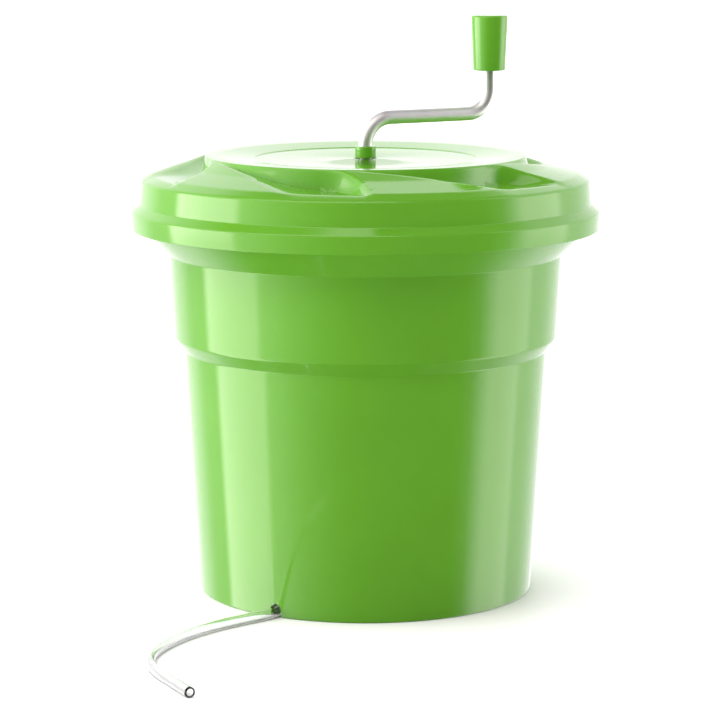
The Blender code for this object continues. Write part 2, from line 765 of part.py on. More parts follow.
def make_case(holes):
    """Cup that closes the gears in from below, its ring gear and its screws."""
    floor_top = CASE_FLOOR + CASE_FLOOR_T
    flange_foot = FLANGE_TOP - FLANGE_T
    case = turned("gear_housing", [
        (SHAFT_R + GAP, floor_top),
        (CASE_R - CASE_WALL, floor_top),
        (CASE_R - CASE_WALL, FLANGE_TOP),
        (FLANGE_R, FLANGE_TOP),
        (FLANGE_R, flange_foot),
        (CASE_R, flange_foot),
        (CASE_R, CASE_FLOOR, 2 * MM),
        (SHAFT_R + GAP, CASE_FLOOR),
    ], "case_plastic")
    combine(case, holes, 'DIFFERENCE')

    inner = gear_outline(RING_TEETH, 0.75 * MODULE, 1.2 * MODULE, -1, 180.0 / RING_TEETH)
    ring_r = CASE_R - CASE_WALL - 2 * GAP
    annulus = cylinder("ring_gear", ring_r, floor_top + GAP, GEAR_TOP, "gear_plastic", ROUND_STEPS)
    teeth = prism("ring_teeth", [(floor_top - 2 * MM, inner), (GEAR_TOP + 4 * MM, inner)])
    combine(annulus, teeth, 'DIFFERENCE')

    pieces = [case, annulus]
    head_top = flange_foot - GAP
    for k, (x, y) in enumerate(around(SCREWS, SCREW_PCR, 45.0)):
        pieces.append(turned(f"housing_screw_{k + 1}", [
            (0.0, 302.6 * MM),
            (SCREW_R, 302.6 * MM),
            (SCREW_R, head_top),
            (SCREW_HEAD_R, head_top),
            (SCREW_HEAD_R, head_top - 2.4 * MM, 0.8 * MM),
            (0.0, head_top - 2.4 * MM),
        ], "steel", 12, (x, y, 0.0)))
    return pieces


# ----------------------------------------------------------------------- crank
def rod_route():
    """Centre line of the crank rod: up out of the lid, level, and up again."""
    out = KNOB_AXIS.normalized()
    up = Vector((0.0, 0.0, 1.0))
    level = ROD_BEND_Z + LOW_BEND_R
    route = [up * ROD_FOOT]
    for k in range(7):
        angle = math.radians(90 * k / 6)
        route.append(out * (LOW_BEND_R * (1 - math.cos(angle)))
                     + up * (ROD_BEND_Z + LOW_BEND_R * math.sin(angle)))
    start = KNOB_AXIS.length - HIGH_BEND_R
    for k in range(7):
        angle = math.radians(90 * k / 6)
        route.append(out * (start + HIGH_BEND_R * math.sin(angle))
                     + up * (level + HIGH_BEND_R * (1 - math.cos(angle))))
    route.append(KNOB_AXIS + up * ROD_TOP)
    return route


def make_carrier():
    """Planet carrier: a plate, a hub on the rod and a boss for each planet's pin."""
    plate_foot = 289.5 * MM
    carrier = cylinder("planet_carrier", 42 * MM, plate_foot, 294.0 * MM, "gear_plastic",
                       ROUND_STEPS)
    orbit = around(PLANETS, ORBIT_R)
    boss_foot = GEAR_TOP + 0.6 * MM
    hub = posts("carrier_hub", HUB_R, boss_foot, plate_foot + MM, [(0.0, 0.0)], SMALL_STEPS)
    bosses = posts("carrier_bosses", 6 * MM, boss_foot, plate_foot + MM, orbit, 16)
    combine(carrier, hub, 'UNION')
    combine(carrier, bosses, 'UNION')
    rod_hole = posts("rod_hole", ROD_R + GAP, boss_foot - MM, 296 * MM, [(0.0, 0.0)], SMALL_STEPS)
    pin_holes = posts("pin_holes", PLANET_PIN_R + GAP, boss_foot - MM, 296 * MM, orbit, 16)
    combine(carrier, rod_hole, 'DIFFERENCE')
    combine(carrier, pin_holes, 'DIFFERENCE')
    return carrier


def make_crank():
    """Everything that turns with the crank rod."""
    rod = meshed(tube_curve("crank_rod", rod_route(), ROD_R, 4, "satin_rod"))
    carrier = make_carrier()

    across = Matrix.Translation((0.0, 0.0, CROSS_PIN_Z)) @ Matrix.Rotation(math.pi / 2, 4, 'X')
    for name, radius, length, mat in (
            ("cross_pin_hole", CROSS_PIN_R + GAP, 30 * MM, None),
            ("cross_pin", CROSS_PIN_R, 19 * MM, "steel")):
        bm = bmesh.new()
        bmesh.ops.create_cone(bm, cap_ends=True, segments=12, radius1=radius, radius2=radius,
                              depth=length, matrix=across)
        mesh = bpy.data.meshes.new(name)
        bm.to_mesh(mesh)
        bm.free()
        made = place(name, mesh, mat)
        if mat is None:
            combine(rod, made, 'DIFFERENCE')
            combine(carrier, made, 'DIFFERENCE')
    pieces = [rod, carrier, made]

    pieces.append(turned("shaft_collar", [
        (ROD_R + GAP, ROD_BEND_Z),
        (COLLAR_R, ROD_BEND_Z, 0.5 * MM),
        (COLLAR_R, DISC_Z + GAP),
        (ROD_R + GAP, DISC_Z + GAP),
    ], "green_plastic", SMALL_STEPS))

    for k, (x, y) in enumerate(around(PLANETS, ORBIT_R)):
        spot = (x, y, 0.0)
        pieces.append(cylinder(f"planet_pin_{k + 1}", PLANET_PIN_R, 265.5 * MM, 293.7 * MM,
                               "steel", 16, spot))
        pieces.append(ring(f"planet_clip_{k + 1}", PLANET_PIN_R + GAP, 5 * MM, 266.0 * MM,
                           GEAR_FOOT - GAP, "steel", spot))

    # Push-on ring that keeps the grip on the rod, inside the grip's chamber
    clip_foot = GRIP_CHAMBER_FOOT + 0.6 * MM
    pieces.append(ring("grip_clip", ROD_R + GAP, 7.4 * MM, clip_foot, clip_foot + 1.6 * MM, "steel",
                       KNOB_AXIS))
    hang(axis_empty("crank_axis"), pieces)


def make_grip():
    """Tapered grip that turns on the rod, and the plug that closes its top."""
    grip = turned("grip", [
        (GRIP_CHAMBER_R, GRIP_TOP),
        (GRIP_TOP_R, GRIP_TOP, 1.3 * MM),
        (GRIP_FOOT_R, GRIP_FOOT, 0.6 * MM),
        (ROD_R + GAP, GRIP_FOOT),
        (ROD_R + GAP, GRIP_CHAMBER_FOOT),
        (GRIP_CHAMBER_R, GRIP_CHAMBER_FOOT),
    ], "green_plastic", GRIP_STEPS, KNOB_AXIS, 2)
    cap_r = GRIP_CHAMBER_R - GAP
    cap = turned("grip_cap", [
        (0.0, GRIP_TOP),
        (cap_r, GRIP_TOP, 0.3 * MM),
        (cap_r, GRIP_TOP - 5 * MM),
        (0.0, GRIP_TOP - 5 * MM),
    ], "green_plastic", GRIP_STEPS, KNOB_AXIS)
    hang(axis_empty("grip_axis", KNOB_AXIS), [grip, cap])


def make_planets():
    """Three planet gears, in mesh with the sun and the ring at rest."""
    for k, (x, y) in enumerate(around(PLANETS, ORBIT_R)):
        spot = (x, y, 0.0)
        gear = make_gear(f"planet_gear_{k + 1}", PLANET_TEETH, PLANET_PIN_R + GAP, spot, 0.0,
                         "gear_plastic")
        hang(axis_empty(f"planet_axis_{k + 1}", spot), [gear])


def make_output():
    """Sun gear on the output shaft, with the dog that drives the basket."""
    sun = make_gear("sun_gear", SUN_TEETH, SHAFT_R + GAP, (0.0, 0.0, 0.0), 0.0, "gear_plastic")
    screw_r = 2.0 * MM
    floor_top = CASE_FLOOR + CASE_FLOOR_T
    flange_top = GEAR_FOOT - GAP
    hole_top = 255.0 * MM
    shaft = turned("output_shaft", [
        (0.0, GEAR_TOP - 0.2 * MM),
        (SHAFT_R, GEAR_TOP - 0.2 * MM),
        (SHAFT_R, flange_top),
        (10.0 * MM, flange_top),
        (10.0 * MM, floor_top + GAP),
        (SHAFT_R - 0.3 * MM, floor_top + GAP),
        (SHAFT_R - 0.3 * MM, DOG_FOOT + 0.5 * MM),
        (screw_r + GAP, DOG_FOOT + 0.5 * MM),
        (screw_r + GAP, hole_top),
        (0.0, hole_top),
    ], "steel", SMALL_STEPS)
    hexagon = around(6, DOG_FLATS / math.cos(math.pi / 6) / 2)
    dog = prism("drive_dog", [(DOG_FOOT, hexagon), (DOG_TOP, hexagon)], "gear_plastic")
    combine(dog, posts("dog_bore", SHAFT_R, DOG_FOOT - 5 * MM, DOG_TOP + 5 * MM, [(0.0, 0.0)],
                       SMALL_STEPS), 'DIFFERENCE')
    screw = turned("dog_screw", [
        (0.0, 253.0 * MM),
        (screw_r, 253.0 * MM),
        (screw_r, DOG_FOOT - GAP),
        (8.0 * MM, DOG_FOOT - GAP),
        (8.0 * MM, DOG_FOOT - 2.2 * MM, 0.8 * MM),
        (0.0, DOG_FOOT - 2.2 * MM),
    ], "steel", SMALL_STEPS)
    hang(axis_empty("output_axis"), [sun, shaft, dog, screw])


make_tub()
make_pivot()
make_drain()
make_hose()
make_basket()
lid, screw_holes = make_lid()
lid_pieces = [lid, make_lid_bush()] + make_case(screw_holes)
hang(axis_empty("lid_axis"), lid_pieces)
make_crank()
make_grip()
make_planets()
make_output()
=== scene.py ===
"""Looks of the hand-cranked salad spinner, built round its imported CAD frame.

Metres, +Z up, in the frame's own axes: the spinner's axis is Z and its front
faces -Y. Lengths that the frame doesn't give are named here in metres.
"""
import json
import math

import bmesh
import bpy
import numpy as np
from mathutils import Matrix, Vector


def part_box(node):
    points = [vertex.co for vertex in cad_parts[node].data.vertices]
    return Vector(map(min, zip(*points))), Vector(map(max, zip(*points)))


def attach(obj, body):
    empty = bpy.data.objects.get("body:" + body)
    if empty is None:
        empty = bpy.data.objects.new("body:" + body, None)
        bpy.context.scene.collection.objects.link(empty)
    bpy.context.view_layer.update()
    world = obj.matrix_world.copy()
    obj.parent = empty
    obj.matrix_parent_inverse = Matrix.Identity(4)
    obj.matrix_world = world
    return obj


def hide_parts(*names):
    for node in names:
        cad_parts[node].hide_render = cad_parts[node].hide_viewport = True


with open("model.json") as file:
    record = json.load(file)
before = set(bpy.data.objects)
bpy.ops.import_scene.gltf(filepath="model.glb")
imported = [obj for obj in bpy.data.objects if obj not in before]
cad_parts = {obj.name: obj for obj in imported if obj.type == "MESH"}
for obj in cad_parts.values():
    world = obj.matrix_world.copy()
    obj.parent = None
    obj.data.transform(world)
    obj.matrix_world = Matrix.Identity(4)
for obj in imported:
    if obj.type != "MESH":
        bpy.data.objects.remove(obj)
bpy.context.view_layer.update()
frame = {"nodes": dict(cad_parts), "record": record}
MM = 0.001

# ---------------------------------------------------------------------- camera
CAMERA_AT = (-0.00386, -2.14222, 0.51050)
CAMERA_TILT_DEG = 80.7916
CAMERA_LENS = 152.26

camera_data = bpy.data.cameras.new("camera")
camera_data.lens = CAMERA_LENS
camera_data.sensor_width = 36.0
camera_data.clip_end = 50.0
camera = bpy.data.objects.new("camera", camera_data)
camera.location = CAMERA_AT
camera.rotation_euler = (math.radians(CAMERA_TILT_DEG), 0.0, 0.0)
bpy.context.scene.collection.objects.link(camera)
bpy.context.scene.camera = camera
bpy.context.scene.view_settings.view_transform = 'Standard'


# ------------------------------------------------------------------ node tools
NOISE_RANGE = (0.3, 0.7)        # nearly all of a noise's values lie between these


class Nodes:
    """A material's node tree, with short calls for what the materials here need."""

    def __init__(self, name):
        self.mat = bpy.data.materials.new(name)
        self.mat.use_nodes = True
        self.tree = self.mat.node_tree
        self.shader = self.tree.nodes["Principled BSDF"]
        self.place = self.tree.nodes.new("ShaderNodeTexCoord").outputs["Object"]

    def set(self, **values):
        """Set shader sockets; an underscore in a name stands for a space."""
        for key, value in values.items():
            self.shader.inputs[key.replace("_", " ")].default_value = value
        return self

    def link(self, out, socket):
        self.tree.links.new(out, self.shader.inputs[socket])

    def stretched(self, scale):
        """Object coordinates scaled by (x, y, z)."""
        mapping = self.tree.nodes.new("ShaderNodeMapping")
        mapping.inputs["Scale"].default_value = scale
        self.tree.links.new(self.place, mapping.inputs["Vector"])
        return mapping.outputs["Vector"]

    def noise(self, scale, detail=2.0, rough=0.5, vector=None):
        node = self.tree.nodes.new("ShaderNodeTexNoise")
        node.inputs["Scale"].default_value = scale
        node.inputs["Detail"].default_value = detail
        node.inputs["Roughness"].default_value = rough
        self.tree.links.new(vector or self.place, node.inputs["Vector"])
        return node.outputs["Fac"]

    def span(self, value, low, high):
        """Map a noise's usual range to low to high."""
        node = self.tree.nodes.new("ShaderNodeMapRange")
        node.inputs["From Min"].default_value = NOISE_RANGE[0]
        node.inputs["From Max"].default_value = NOISE_RANGE[1]
        node.inputs["To Min"].default_value = low
        node.inputs["To Max"].default_value = high
        self.tree.links.new(value, node.inputs["Value"])
        return node.outputs["Result"]

    def mix(self, value, first, second):
        """Blend two colours over a noise's usual range, or switch them by a 0 or 1."""
        node = self.tree.nodes.new("ShaderNodeValToRGB")
        ramp = node.color_ramp.elements
        ramp[0].position, ramp[1].position = NOISE_RANGE
        ramp[0].color = (*first, 1.0)
        ramp[1].color = (*second, 1.0)
        self.tree.links.new(value, node.inputs["Fac"])
        return node.outputs["Color"]

    def bump(self, *layers):
        """Stack (height, strength, distance) bumps and send them to the shader."""
        before = None
        for height, strength, distance in layers:
            node = self.tree.nodes.new("ShaderNodeBump")
            node.inputs["Strength"].default_value = strength
            node.inputs["Distance"].default_value = distance
            self.tree.links.new(height, node.inputs["Height"])
            if before is not None:
                self.tree.links.new(before, node.inputs["Normal"])
            before = node.outputs["Normal"]
        self.link(before, "Normal")
        return self


def shade(colour, factor):
    """A colour made lighter or darker."""
    return tuple(min(1.0, c * factor) for c in colour)


def moulded(name, colour, roughness, gloss_spread=0.03, grain=0.05):
    """Injection-moulded plastic: faint flow marks, fine surface grain and uneven gloss."""
    nodes = Nodes(name)
    flow = nodes.noise(9.0, 3.0, 0.55)
    nodes.link(nodes.mix(flow, shade(colour, 0.95), shade(colour, 1.05)), "Base Color")
    gloss = nodes.noise(38.0, 4.0, 0.6)
    nodes.link(nodes.span(gloss, roughness - gloss_spread, roughness + gloss_spread), "Roughness")
    nodes.bump((nodes.noise(26.0, 1.0), grain, 0.6 * MM),
               (nodes.noise(1400.0, 1.0), grain, 0.02 * MM))
    return nodes.set(IOR=1.49).mat


def turned_metal(name, colour, roughness):
    """Metal with fine marks round its length."""
    nodes = Nodes(name)
    marks = nodes.noise(30.0, 3.0, 0.6, nodes.stretched((1.0, 1.0, 40.0)))
    nodes.link(nodes.mix(marks, shade(colour, 0.92), shade(colour, 1.06)), "Base Color")
    gloss = nodes.noise(60.0, 3.0)
    nodes.link(nodes.span(gloss, roughness - 0.05, roughness + 0.07), "Roughness")
    nodes.bump((marks, 0.06, 0.1 * MM))
    return nodes.set(Metallic=1.0).mat


def satin_metal(name, colour, roughness):
    """Drawn and tumbled rod: soft mottling and faint pits, no clear direction."""
    nodes = Nodes(name)
    cloud = nodes.noise(55.0, 4.0, 0.6)
    nodes.link(nodes.mix(cloud, shade(colour, 0.93), shade(colour, 1.05)), "Base Color")
    gloss = nodes.noise(180.0, 3.0)
    nodes.link(nodes.span(gloss, roughness - 0.05, roughness + 0.06), "Roughness")
    nodes.bump((nodes.noise(700.0, 2.0, 0.7), 0.10, 0.06 * MM), (cloud, 0.08, 0.2 * MM))
    return nodes.set(Metallic=1.0).mat


def clear_vinyl(name):
    """Clear flexible tube with a slightly uneven skin."""
    nodes = Nodes(name)
    cloud = nodes.noise(45.0, 3.0)
    nodes.link(nodes.mix(cloud, (0.93, 0.95, 0.95), (0.97, 0.98, 0.98)), "Base Color")
    nodes.link(nodes.span(nodes.noise(90.0, 2.0), 0.05, 0.12), "Roughness")
    nodes.bump((nodes.noise(120.0, 2.0), 0.10, 0.2 * MM))
    return nodes.set(Transmission_Weight=1.0, IOR=1.52).mat


GREEN = (0.155, 0.475, 0.032)
MATERIALS = {
    "green_plastic": moulded("green_plastic", GREEN, 0.09),
    "basket_plastic": moulded("basket_plastic", (0.20, 0.50, 0.06), 0.32, 0.06, 0.10),
    "case_plastic": moulded("case_plastic", (0.74, 0.74, 0.71), 0.38, 0.06, 0.12),
    "gear_plastic": moulded("gear_plastic", (0.80, 0.78, 0.70), 0.42, 0.06, 0.12),
    "black_plastic": moulded("black_plastic", (0.022, 0.022, 0.024), 0.36, 0.06, 0.12),
    "rubber": moulded("rubber", (0.018, 0.018, 0.019), 0.66, 0.08, 0.20),
    "steel": turned_metal("steel", (0.60, 0.60, 0.61), 0.27),
    "satin_rod": satin_metal("satin_rod", (0.82, 0.815, 0.82), 0.50),
    "clear_hose": clear_vinyl("clear_hose"),
}


# ----------------------------------------------------------------- shape tools
def filleted(points, steps=6):
    """Round the corners of an outline of (a, b) or (a, b, radius) points."""
    out = []
    count = len(points)
    for i, point in enumerate(points):
        here = Vector(point[:2])
        radius = point[2] if len(point) > 2 else 0.0
        if radius == 0.0:
            out.append(here)
            continue
        back = (Vector(points[i - 1][:2]) - here).normalized()
        ahead = (Vector(points[(i + 1) % count][:2]) - here).normalized()
        half = back.angle(ahead) / 2
        reach = radius / math.tan(half)
        centre = here + (back + ahead).normalized() * (radius / math.sin(half))
        start = here + back * reach - centre
        sweep = start.angle_signed(here + ahead * reach - centre)
        for k in range(steps + 1):
            out.append(centre + Matrix.Rotation(-sweep * k / steps, 2) @ start)
    return out


def finish_piece(obj, body, slot, replaced, sharp_deg=32.0):
    mesh = obj.data
    mesh.shade_smooth()
    mesh.set_sharp_from_angle(angle=math.radians(sharp_deg))
    mesh.materials.clear()
    mesh.materials.append(MATERIALS[slot])
    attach(obj, body)
    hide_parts(*replaced)
    return obj


def new_object(name, mesh, location=(0.0, 0.0, 0.0)):
    obj = bpy.data.objects.new(name, mesh)
    obj.location = location
    bpy.context.scene.collection.objects.link(obj)
    return obj


def revolved(name, outline, steps, location=(0.0, 0.0, 0.0), shape=None):
    """A solid of revolution from a clockwise outline of (radius, height) points.

    An outline that starts at radius 0 is left open along the axis. shape, if
    given, takes the vertices as an array, the number of rings and the steps in a
    ring, and returns the vertices moved.
    """
    closed = outline[0][0] > 0
    verts, rings = [], []
    for r, z in outline:
        if r == 0.0:
            rings.append([len(verts)] * steps)
            verts.append((0.0, 0.0, z))
            continue
        rings.append(list(range(len(verts), len(verts) + steps)))
        for k in range(steps):
            angle = 2 * math.pi * k / steps
            verts.append((r * math.cos(angle), r * math.sin(angle), z))
    pairs = list(zip(rings, rings[1:]))
    if closed:
        pairs.append((rings[-1], rings[0]))
    faces = []
    for upper, lower in pairs:
        for k in range(steps):
            after = (k + 1) % steps
            corner = (upper[k], lower[k], lower[after], upper[after])
            face = tuple(dict.fromkeys(corner))
            if len(face) > 2:
                faces.append(face)
    places = np.array(verts)
    if shape is not None:
        places = shape(places, len(rings), steps)
    mesh = bpy.data.meshes.new(name)
    mesh.from_pydata(places.tolist(), [], faces)
    mesh.validate()
    return new_object(name, mesh, location)


def blocks(name, shapes):
    """One object of separate closed blocks, each (outline points, low, high, matrix)."""
    bm = bmesh.new()
    for outline, low, high, matrix in shapes:
        bottom = [bm.verts.new(matrix @ Vector((x, y, low))) for x, y in outline]
        top = [bm.verts.new(matrix @ Vector((x, y, high))) for x, y in outline]
        for i, vert in enumerate(bottom):
            after = (i + 1) % len(bottom)
            bm.faces.new((vert, bottom[after], top[after], top[i]))
        bm.faces.new(bottom[::-1])
        bm.faces.new(top)
    bmesh.ops.recalc_face_normals(bm, faces=bm.faces)
    mesh = bpy.data.meshes.new(name)
    bm.to_mesh(mesh)
    bm.free()
    return new_object(name, mesh)


PAST = 3.0 * MM                 # how far a cutter passes the faces that it opens


def cut(obj, cutter):
    """Cut one object with another, apply the cut and remove the cutter."""
    modifier = obj.modifiers.new("cut", 'BOOLEAN')
    modifier.operation = 'DIFFERENCE'
    modifier.object = cutter
    bpy.context.view_layer.update()
    evaluated = obj.evaluated_get(bpy.context.evaluated_depsgraph_get())
    mesh = bpy.data.meshes.new_from_object(evaluated)
    obj.modifiers.clear()
    obj.data = mesh
    bpy.data.objects.remove(cutter, do_unlink=True)


def circle(radius, steps):
    """Points round a circle or the corners of a regular polygon, the first on X."""
    angles = [2 * math.pi * k / steps for k in range(steps)]
    return [(radius * math.cos(angle), radius * math.sin(angle)) for angle in angles]


def stadium(half_length, half_width, steps=8):
    """A slot's outline: a rectangle with round ends, along X."""
    reach = half_length - half_width
    points = []
    for sign in (1, -1):
        for k in range(steps + 1):
            angle = math.pi * (k / steps - 0.5)
            points.append((sign * (reach + half_width * math.cos(angle)),
                           sign * half_width * math.sin(angle)))
    return points


# ------------------------------------------------------------------ drain hose
HOSE_R = 3.5 * MM
HOSE_BORE_R = 2.45 * MM
HOSE_EDGE = 0.25 * MM           # bevel round its cut ends
HOSE_SIDES = 32
HOSE_SPACING = 2.0 * MM         # from one ring of points to the next
HOSE_ROUTE = [                  # in millimetres, from the elbow to the cut end
    (-46.3, -75.5, 6.0), (-50.8, -82.9, 5.7), (-56.0, -91.2, 4.8), (-62.1, -100.2, 3.9),
    (-70.0, -108.4, 3.6), (-79.0, -116.2, 3.6), (-89.0, -125.3, 3.6), (-100.5, -136.8, 3.6),
    (-112.6, -151.4, 3.6), (-124.0, -169.6, 3.6), (-133.2, -189.4, 3.6), (-138.6, -207.8, 3.6),
    (-140.0, -225.2, 3.6), (-137.7, -241.8, 3.6), (-131.9, -259.4, 3.6), (-122.4, -280.2, 3.6),
    (-113.6, -298.6, 3.6), (-109.4, -307.1, 3.6),
]


def smooth_route(knots, spacing, steps=12):
    """Evenly spaced points along a cubic through the knots, and its length."""
    knots = [Vector(k) for k in knots]
    fine = []
    for i in range(len(knots) - 1):
        p0 = knots[max(i - 1, 0)]
        p1, p2 = knots[i], knots[i + 1]
        p3 = knots[min(i + 2, len(knots) - 1)]
        for k in range(steps):
            t = k / steps
            fine.append(0.5 * (2 * p1 + (p2 - p0) * t + (2 * p0 - 5 * p1 + 4 * p2 - p3) * t ** 2
                               + (3 * p1 - p0 - 3 * p2 + p3) * t ** 3))
    fine.append(knots[-1])
    lengths = [0.0]
    for a, b in zip(fine, fine[1:]):
        lengths.append(lengths[-1] + (b - a).length)
    count = round(lengths[-1] / spacing)
    out = []
    j = 0
    for k in range(count + 1):
        want = lengths[-1] * k / count
        while j < len(fine) - 2 and lengths[j + 1] < want:
            j += 1
        share = (want - lengths[j]) / (lengths[j + 1] - lengths[j])
        out.append(fine[j].lerp(fine[j + 1], share))
    return out, lengths[-1]


def make_hose():
    """Clear tube with a bore, cut square at both ends."""
    knots = [[c * MM for c in knot] for knot in HOSE_ROUTE]
    route, length = smooth_route(knots, HOSE_SPACING)
    up = Vector((0.0, 0.0, 1.0))
    verts, faces = [], []

    def loop(centre, along, radius):
        across = along.cross(up).normalized()
        over = across.cross(along)
        start = len(verts)
        for a, b in circle(radius, HOSE_SIDES):
            verts.append(centre + across * a + over * b)
        return list(range(start, start + HOSE_SIDES))

    outer, inner = [], []
    last = len(route) - 1
    for i, point in enumerate(route):
        along = (route[min(i + 1, last)] - route[max(i - 1, 0)]).normalized()
        if i == 0:
            outer.append(loop(point, along, HOSE_R - HOSE_EDGE))
            outer.append(loop(point + along * HOSE_EDGE, along, HOSE_R))
        elif i == last:
            outer.append(loop(point - along * HOSE_EDGE, along, HOSE_R))
            outer.append(loop(point, along, HOSE_R - HOSE_EDGE))
        else:
            outer.append(loop(point, along, HOSE_R))
        inner.append(loop(point, along, HOSE_BORE_R))
    strip = outer + inner[::-1]
    for a, b in zip(strip, strip[1:] + strip[:1]):
        for k in range(HOSE_SIDES):
            after = (k + 1) % HOSE_SIDES
            faces.append((a[k], a[after], b[after], b[k]))
    mesh = bpy.data.meshes.new("hose")
    mesh.from_pydata(verts, [], faces)
    bm = bmesh.new()
    bm.from_mesh(mesh)
    bmesh.ops.recalc_face_normals(bm, faces=bm.faces)
    bm.to_mesh(mesh)
    bm.free()
    hose = finish_piece(new_object("hose", mesh), "tub", "clear_hose", ["drain_hose"], 50.0)


make_hose()

# ------------------------------------------------------------------------- tub
TUB_WALL = 3.0 * MM
TURN_STEPS = 192
BASE_R = 118.4 * MM
STEP_LOW = (128.4 * MM, 172.6 * MM)
STEP_HIGH = (135.3 * MM, 181.8 * MM)
NECK = (138.7 * MM, 241.0 * MM)
RIM_FOOT = (157.6 * MM, 259.8 * MM)
RIM_TOP = (158.6 * MM, 269.7 * MM)


def make_tub():
    """The tub, with every crease rounded."""
    floor_top, floor_under = 18.0 * MM, 15.0 * MM
    boss_r, boss_top = 14.0 * MM, 32.0 * MM
    pin_hole_r, pin_foot = 4.3 * MM, 20.0 * MM
    # The inner face bends a little higher than the outer one, so the wall stays even
    low_rise, high_rise = 1.4 * MM, 1.3 * MM
    floor_r = BASE_R + (STEP_LOW[0] - BASE_R) * floor_top / STEP_LOW[1] - TUB_WALL
    outline = filleted([
        (0.0, pin_foot),
        (pin_hole_r, pin_foot),
        (pin_hole_r, boss_top, 0.4 * MM),
        (boss_r, boss_top, 1.5 * MM),
        (boss_r + 2 * MM, floor_top, 2 * MM),
        (floor_r, floor_top, 6 * MM),
        (STEP_LOW[0] - TUB_WALL, STEP_LOW[1] + low_rise, 4 * MM),
        (STEP_HIGH[0] - TUB_WALL, STEP_HIGH[1] + low_rise, 2 * MM),
        (NECK[0] - TUB_WALL, NECK[1] + high_rise, 3 * MM),
        (RIM_FOOT[0] - TUB_WALL, RIM_FOOT[1] + high_rise, 2 * MM),
        (RIM_TOP[0] - TUB_WALL, RIM_TOP[1], 1.2 * MM),
        (RIM_TOP[0], RIM_TOP[1], 1.2 * MM),
        (RIM_FOOT[0], RIM_FOOT[1], 2 * MM),
        (NECK[0], NECK[1], 1.5 * MM),
        (STEP_HIGH[0], STEP_HIGH[1], 4 * MM),
        (STEP_LOW[0], STEP_LOW[1], 2.5 * MM),
        (BASE_R, 0.0, 1.4 * MM),
        (BASE_R - TUB_WALL, 0.0, 0.4 * MM),
        (BASE_R - TUB_WALL + 0.8 * MM, floor_under, 1.5 * MM),
        (0.0, floor_under),
    ])
    tub = revolved("tub_shell", outline, TURN_STEPS)

    drain_deg, drain_r, drain_hole_r = -121.5, 76.0 * MM, 3.8 * MM
    heading = Matrix.Rotation(math.radians(drain_deg), 4, 'Z')
    hole_at = heading @ Matrix.Translation((drain_r, 0.0, 0.0))

    # Arched notch: a door-shaped outline, upright, pushed out through the skirt
    notch_r, notch_h, arch_steps = 4.2 * MM, 9.6 * MM, 16
    arch = [(-notch_r, -PAST), (notch_r, -PAST)]
    for k in range(arch_steps + 1):
        angle = math.pi * k / arch_steps
        arch.append((notch_r * math.cos(angle),
                     notch_h - notch_r + notch_r * math.sin(angle)))
    upright = Matrix(((0, 0, 1, 0), (1, 0, 0, 0), (0, 1, 0, 0), (0, 0, 0, 1)))
    cut(tub, blocks("drain_cuts", [
        (circle(drain_hole_r, 32), floor_under - PAST, floor_top + PAST, hole_at),
        (arch, BASE_R - TUB_WALL - PAST, BASE_R + PAST, heading @ upright),
    ]))
    finish_piece(tub, "tub", "green_plastic", ["tub"], 40.0)


make_tub()

# ---------------------------------------------------------------------- basket
BASKET_WALL = 2.2 * MM
BASKET_FLOOR = 37.0 * MM
BASKET_TOP = 252.0 * MM
BASKET_FOOT_R = 110.0 * MM
BASKET_MOUTH_R = 124.0 * MM
BASKET_LIP_R = 128.0 * MM
SLOT_W = 4.0 * MM
SLOT_H = 46.0 * MM
SLOT_ROWS = (56.0 * MM, 112.0 * MM, 168.0 * MM)
SLOTS_ROUND = 16
FLOOR_SLOT = (44.0 * MM, 94.0 * MM)   # from one radius to another
SOCKET_FLATS = 20.8 * MM
SOCKET_FOOT = 234.0 * MM


def make_basket():
    """Slotted basket with rounded slots and a hexagonal socket in its post."""
    floor_top = BASKET_FLOOR + BASKET_WALL
    lip_under = BASKET_TOP - BASKET_WALL
    bush_r, bush_top, bore_r = 8.3 * MM, 60.8 * MM, 9.5 * MM
    outline = filleted([
        (bore_r, BASKET_TOP, 0.5 * MM),
        (16.0 * MM, BASKET_TOP, 1.5 * MM),
        (21.0 * MM, floor_top, 6 * MM),
        (BASKET_FOOT_R - BASKET_WALL, floor_top, 8 * MM),
        (BASKET_MOUTH_R - BASKET_WALL, BASKET_TOP, 1.5 * MM),
        (BASKET_LIP_R, BASKET_TOP, 0.9 * MM),
        (BASKET_LIP_R, lip_under, 0.9 * MM),
        (BASKET_MOUTH_R, lip_under, 1.0 * MM),
        (BASKET_FOOT_R, BASKET_FLOOR, 10 * MM),
        (bush_r, BASKET_FLOOR),
        (bush_r, bush_top),
        (bore_r, bush_top),
    ])
    basket = revolved("basket_shell", outline, 160)
    hexagon = circle(SOCKET_FLATS / 2 / math.cos(math.pi / 6), 6)
    shapes = [(hexagon, SOCKET_FOOT, BASKET_TOP + PAST, Matrix.Identity(4))]
    slot = stadium(SLOT_H / 2, SLOT_W / 2)
    on_wall = Matrix.Rotation(math.pi / 2, 4, 'Y')
    step = 360.0 / SLOTS_ROUND
    through = (BASKET_FOOT_R - 10 * MM, BASKET_MOUTH_R + 10 * MM)
    for foot in SLOT_ROWS:
        for k in range(SLOTS_ROUND):
            turn = Matrix.Rotation(math.radians(step * (k + 0.25)), 4, 'Z')
            lift = Matrix.Translation((0.0, 0.0, foot + SLOT_H / 2))
            shapes.append((slot, *through, turn @ lift @ on_wall))
    low, high = FLOOR_SLOT
    slot = stadium((high - low) / 2, SLOT_W / 2)
    for k in range(SLOTS_ROUND):
        turn = Matrix.Rotation(math.radians(step * k), 4, 'Z')
        shapes.append((slot, BASKET_FLOOR - PAST, floor_top + PAST,
                       turn @ Matrix.Translation(((low + high) / 2, 0.0, 0.0))))
    cut(basket, blocks("basket_cuts", shapes))
    finish_piece(basket, "basket", "basket_plastic", ["basket"])


make_basket()

